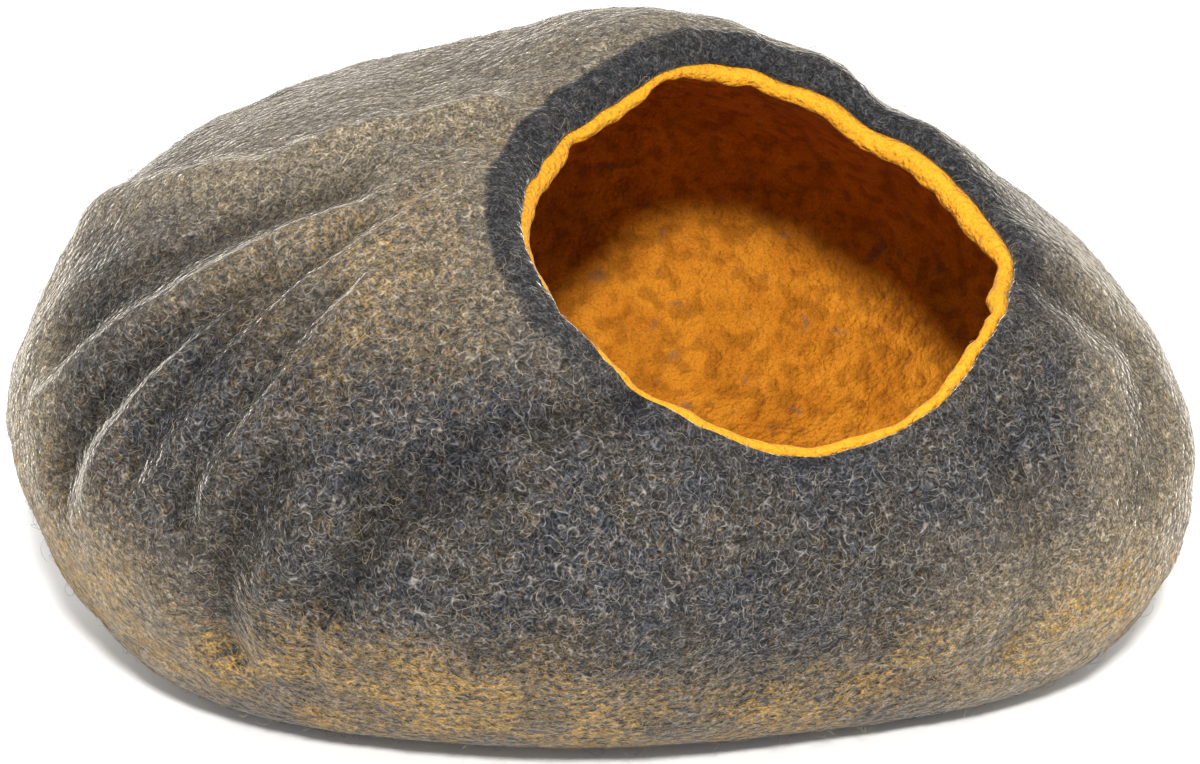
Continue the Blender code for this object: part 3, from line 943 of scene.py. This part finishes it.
def ochre_material():
    """Ochre wool, bright and clean on the cut rim, darker inside the cave, partly mottled and partly painted
    shade, with painted shade in the hollows of its lumps.
    """
    wool = WoolShader("ochre_wool_felt")
    curls = wool.curled(OCHRE_CURLS)
    cloud = wool.noise(INSIDE_CLOUDS, curls, detail=CLOUD_DETAIL)
    lump = wool.noise(INSIDE_HOLLOW_SHADE)
    tuft = wool.noise(INSIDE_TUFTS)
    grain = wool.noise(INSIDE_GRAIN)
    rim = wool.attribute("rim")
    dark_lines = wool.fibres(curls, DARK_INSIDE_FIBRES)
    layers = (
        # Painted shade in the hollows of the lumps
        (wool.mottled(lump, INSIDE_HOLLOW_SHADE), BURNT_OCHRE),
        (dark_lines * BURNT_LINES, BURNT_OCHRE),
        (wool.fibres(curls, LIGHT_INSIDE_FIBRES), BRIGHT_OCHRE),
        (wool.mottled(wool.noise(INSIDE_SPECKS, curls), INSIDE_SPECKS), STEEL_WOOL),
        (rim, wool.mix(dark_lines, RIM_OCHRE, DEEP_OCHRE)),
    )
    # Darker inside than on the rim: partly mottling, partly painted shade
    ground = wool.mix(wool.mottled(cloud, INSIDE_CLOUDS), BRIGHT_OCHRE, DEEP_OCHRE)
    colour = wool.brighten(wool.layered(ground, layers), wool.mottled(grain, INSIDE_GRAIN))
    height = lump * (1.0 - rim) * INSIDE_LUMP_HEIGHT + tuft * INSIDE_TUFT_HEIGHT + grain * GRAIN_HEIGHT
    return wool.finish(colour, height, FELT_ROUGHNESS, INSIDE_FELT_RELIEF, OCHRE_SHEEN)


def stray_material(name, colour, other_colour):
    """Loose wool of one kind, a little different from strand to strand."""
    wool = WoolShader(name)
    tone = wool.mottled(wool.noise(STRAY_TONES), STRAY_TONES)
    shade = wool.mottled(wool.noise(STRAY_SHADES), STRAY_SHADES)
    colour = wool.brighten(wool.mix(tone, colour, other_colour), shade)
    return wool.finish(colour, shade, STRAY_ROUGHNESS, STRAY_RELIEF, STRAY_SHEEN)


def strand_mesh(name, strand, kind):
    """A thin closed strand that lies along X and Y, pointed at both ends."""
    share = np.linspace(0.0, 1.0, kind.points)
    aim = np.radians(strand.turn * (share - 0.5) + strand.sway * np.sin(2.0 * math.pi * share))
    step = strand.length / (kind.points - 1)
    x = np.concatenate(([0.0], np.cumsum(np.cos((aim[1:] + aim[:-1]) / 2.0)))) * step
    y = np.concatenate(([0.0], np.cumsum(np.sin((aim[1:] + aim[:-1]) / 2.0)))) * step
    z = strand.arch * np.sin(math.pi * share) - STRAND_SINK
    line = np.stack((x - x.mean(), y - y.mean(), z), axis=-1)
    strand_shape = bmesh.new()
    first = strand_shape.verts.new(line[0])
    last = strand_shape.verts.new(line[-1])
    rings = []
    for place, angle in zip(line[1:-1], aim[1:-1]):
        across = np.array((-math.sin(angle), math.cos(angle), 0.0))
        ring = []
        for side in range(STRAND_SIDES):
            around = 2.0 * math.pi * side / STRAND_SIDES
            offset = across * math.cos(around) + np.array((0.0, 0.0, math.sin(around)))
            ring.append(strand_shape.verts.new(place + kind.radius * offset))
        rings.append(ring)
    for side in range(STRAND_SIDES):
        after = (side + 1) % STRAND_SIDES
        strand_shape.faces.new((first, rings[0][after], rings[0][side]))
        strand_shape.faces.new((last, rings[-1][side], rings[-1][after]))
        for ring, next_ring in zip(rings, rings[1:]):
            strand_shape.faces.new((ring[side], ring[after], next_ring[after], next_ring[side]))
    bmesh.ops.recalc_face_normals(strand_shape, faces=strand_shape.faces)
    mesh = bpy.data.meshes.new(name)
    strand_shape.to_mesh(mesh)
    strand_shape.free()
    return mesh


def strand_collection(kind):
    """The shapes of one kind of stray wool, out of sight."""
    collection = bpy.data.collections.new(kind.name)
    for number, strand in enumerate(kind.strands):
        name = f"{kind.name}_{number}"
        collection.objects.link(bpy.data.objects.new(name, strand_mesh(name, strand, kind)))
    return collection


def stray_wool_tree(share, material):
    """A tree that strews strands over a body, as thick as one of its painted values says."""
    tree = bpy.data.node_groups.new("stray_wool", "GeometryNodeTree")
    others = {"Body": "Geometry", "Strands": "Collection", "Seed": "Int"}
    for label in (*others, "Strands per square metre", "Smallest", "Largest", "Most lean"):
        socket_type = "NodeSocket" + others.get(label, "Float")
        tree.interface.new_socket(label, in_out="INPUT", socket_type=socket_type)
    tree.interface.new_socket("Wool", in_out="OUTPUT", socket_type="NodeSocketGeometry")

    def node(kind, settings=None, inputs=None):
        added = tree.nodes.new(kind)
        for setting, value in (settings or {}).items():
            setattr(added, setting, value)
        for key, value in (inputs or {}).items():
            if isinstance(value, bpy.types.NodeSocket):
                tree.links.new(value, added.inputs[key])
            else:
                added.inputs[key].default_value = value
        return added.outputs

    def product(first, second):
        return node("ShaderNodeMath", {"operation": "MULTIPLY"}, {0: first, 1: second})[0]

    def chance(low, high, seed=0):
        inputs = {"Min": low, "Max": high, "Seed": seed}
        return node("FunctionNodeRandomValue", {"data_type": "FLOAT"}, inputs)[1]

    def turned(rotation, axis, angle):
        turn = node("FunctionNodeAxisAngleToRotation", {}, {"Axis": axis, "Angle": angle})[0]
        return node("FunctionNodeRotateRotation", {"rotation_space": "LOCAL"}, {0: rotation, 1: turn})[0]

    given = node("NodeGroupInput")
    painted = node("GeometryNodeInputNamedAttribute", {"data_type": "FLOAT"}, {"Name": share})[0]
    density = product(painted, given["Strands per square metre"])
    scatter = {"Mesh": given["Body"], "Density": density, "Seed": given["Seed"]}
    spread = node("GeometryNodeDistributePointsOnFaces", {"distribute_method": "RANDOM"}, scatter)
    spin = chance(0.0, 2.0 * math.pi, given["Seed"])
    lean = chance(product(given["Most lean"], -1.0), given["Most lean"])
    rotation = turned(turned(spread["Rotation"], (0.0, 0.0, 1.0), spin), (0.0, 1.0, 0.0), lean)
    shapes = {"Collection": given["Strands"], "Separate Children": True, "Reset Children": True}
    placed = {
        "Points": spread["Points"],
        "Instance": node("GeometryNodeCollectionInfo", {}, shapes)[0],
        "Pick Instance": True,
        "Rotation": rotation,
        "Scale": chance(given["Smallest"], given["Largest"]),
    }
    strewn = node("GeometryNodeInstanceOnPoints", {}, placed)[0]
    real = node("GeometryNodeRealizeInstances", {}, {0: strewn})[0]
    finished = node("GeometryNodeSetMaterial", {}, {"Geometry": real, "Material": material})[0]
    node("NodeGroupOutput", {}, {0: finished})
    return tree


def painted_area(body, share):
    """The area of a body in square metres, counted as far as a painted value covers it."""
    mesh = body.data
    values = np.empty(len(mesh.vertices), np.float32)
    mesh.attributes[share].data.foreach_get("value", values)
    areas = np.empty(len(mesh.polygons), np.float32)
    mesh.polygons.foreach_get("area", areas)
    loops = np.empty(len(mesh.loops), np.int32)
    mesh.loops.foreach_get("vertex_index", loops)
    starts = np.empty(len(mesh.polygons), np.int32)
    mesh.polygons.foreach_get("loop_start", starts)
    return float((areas * values[loops[starts]]).sum())


def stray_wool(stray, body, strands, material):
    """Stray strands over a body, as one plain mesh."""
    tree = stray_wool_tree(stray.share, material)
    holder = bpy.data.objects.new(stray.name, body.data)
    bpy.context.scene.collection.objects.link(holder)
    modifier = holder.modifiers.new("stray_wool", "NODES")
    modifier.node_group = tree
    values = {
        "Strands": strands,
        "Strands per square metre": stray.count / painted_area(body, stray.share),
        "Smallest": stray.smallest,
        "Largest": stray.largest,
        "Most lean": math.radians(stray.lean),
        "Seed": stray.seed,
    }
    for socket in tree.interface.items_tree:
        if socket.name in values:
            modifier[socket.identifier] = values[socket.name]
    evaluated = holder.evaluated_get(bpy.context.evaluated_depsgraph_get())
    mesh = bpy.data.meshes.new_from_object(evaluated)
    mesh.name = stray.name
    holder.modifiers.remove(modifier)
    holder.data = mesh
    mesh.shade_smooth()
    return holder


def build_stray_wool(charcoal, ochre):
    """All the stray wool: strands and guard hairs on the skin, and curly fuzz inside the rim."""
    lying = strand_collection(LYING_STRANDS)
    loose = strand_collection(LOOSE_STRANDS)
    curly = strand_collection(CURLY_STRANDS)
    pale = stray_material("pale_stray_wool", PALE_WOOL, GREY_WOOL)
    grey = stray_material("grey_stray_wool", STEEL_WOOL, BROWN_CHARCOAL)
    gold = stray_material("ochre_stray_wool", OCHRE_FIBRE, PALE_WOOL)
    fuzz = stray_material("rim_stray_wool", RIM_FUZZ, PALE_WOOL)
    kinds = (
        (PALE_STRAYS, charcoal, lying, pale, "charcoal_felt"),
        (GREY_STRAYS, charcoal, lying, grey, "charcoal_felt"),
        (OCHRE_STRAYS, charcoal, lying, gold, "charcoal_felt"),
        (GUARD_HAIRS, charcoal, loose, pale, "charcoal_felt"),
        (INSIDE_STRAYS, ochre, curly, fuzz, "ochre_felt"),
    )
    for stray, body, strands, material, slot in kinds:
        piece = stray_wool(stray, body, strands, material)
        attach(piece, "root")


def build_cave():
    """The two felt layers and the stray wool on them."""
    charcoal, ochre = build_felt()
    charcoal.data.materials.append(charcoal_material())
    ochre.data.materials.append(ochre_material())
    build_stray_wool(charcoal, ochre)
    layers = ((charcoal, "outer_felt", "charcoal_felt"), (ochre, "inner_felt", "ochre_felt"))
    for body, node, slot in layers:
        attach(body, "root")
        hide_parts(node)


def build_floor():
    """A wide pale floor that meets the cave's flat underside."""
    bpy.ops.mesh.primitive_plane_add(size=FLOOR_SIZE)
    floor = bpy.context.active_object
    floor.name = "floor"
    paper = bpy.data.materials.new("pale_floor")
    paper.use_nodes = True
    shader = paper.node_tree.nodes["Principled BSDF"]
    shader.inputs["Base Color"].default_value = (*FLOOR_COLOUR, 1.0)
    shader.inputs["Roughness"].default_value = FLOOR_ROUGHNESS
    shader.inputs["Specular IOR Level"].default_value = FLOOR_GLOSS
    floor.data.materials.append(paper)


def point_at(thing, place, target):
    """Puts a light or a camera at a place, looking at a target."""
    thing.location = place
    thing.rotation_euler = (Vector(target) - Vector(place)).to_track_quat("-Z", "Y").to_euler()


def build_lights():
    """Soft studio lights and a white surround."""
    for light in LIGHTS:
        lamp = bpy.data.lights.new(light.name, "AREA")
        lamp.shape = "DISK"
        lamp.size = light.size
        lamp.energy = light.power
        lamp.color = light.colour
        holder = bpy.data.objects.new(light.name, lamp)
        bpy.context.scene.collection.objects.link(holder)
        point_at(holder, light.place, light.target)
    world = bpy.data.worlds.new("white_surround")
    world.use_nodes = True
    surround = world.node_tree.nodes["Background"]
    surround.inputs["Color"].default_value = (*SKY_COLOUR, 1.0)
    surround.inputs["Strength"].default_value = SKY_STRENGTH
    bpy.context.scene.world = world
    bpy.context.scene.view_settings.view_transform = "Standard"


def build_camera():
    """The camera at the picture's angle."""
    lens = bpy.data.cameras.new("camera")
    lens.sensor_width = SENSOR_WIDTH
    lens.lens = FOCAL_PIXELS / PHOTO_WIDTH * SENSOR_WIDTH
    camera = bpy.data.objects.new("camera", lens)
    bpy.context.scene.collection.objects.link(camera)
    back = Vector((0.0, -math.cos(CAMERA_ELEVATION), math.sin(CAMERA_ELEVATION)))
    point_at(camera, Vector(CAMERA_AIM) + CAMERA_DISTANCE * back, CAMERA_AIM)
    bpy.context.scene.camera = camera


build_camera()
build_cave()
build_floor()
build_lights()
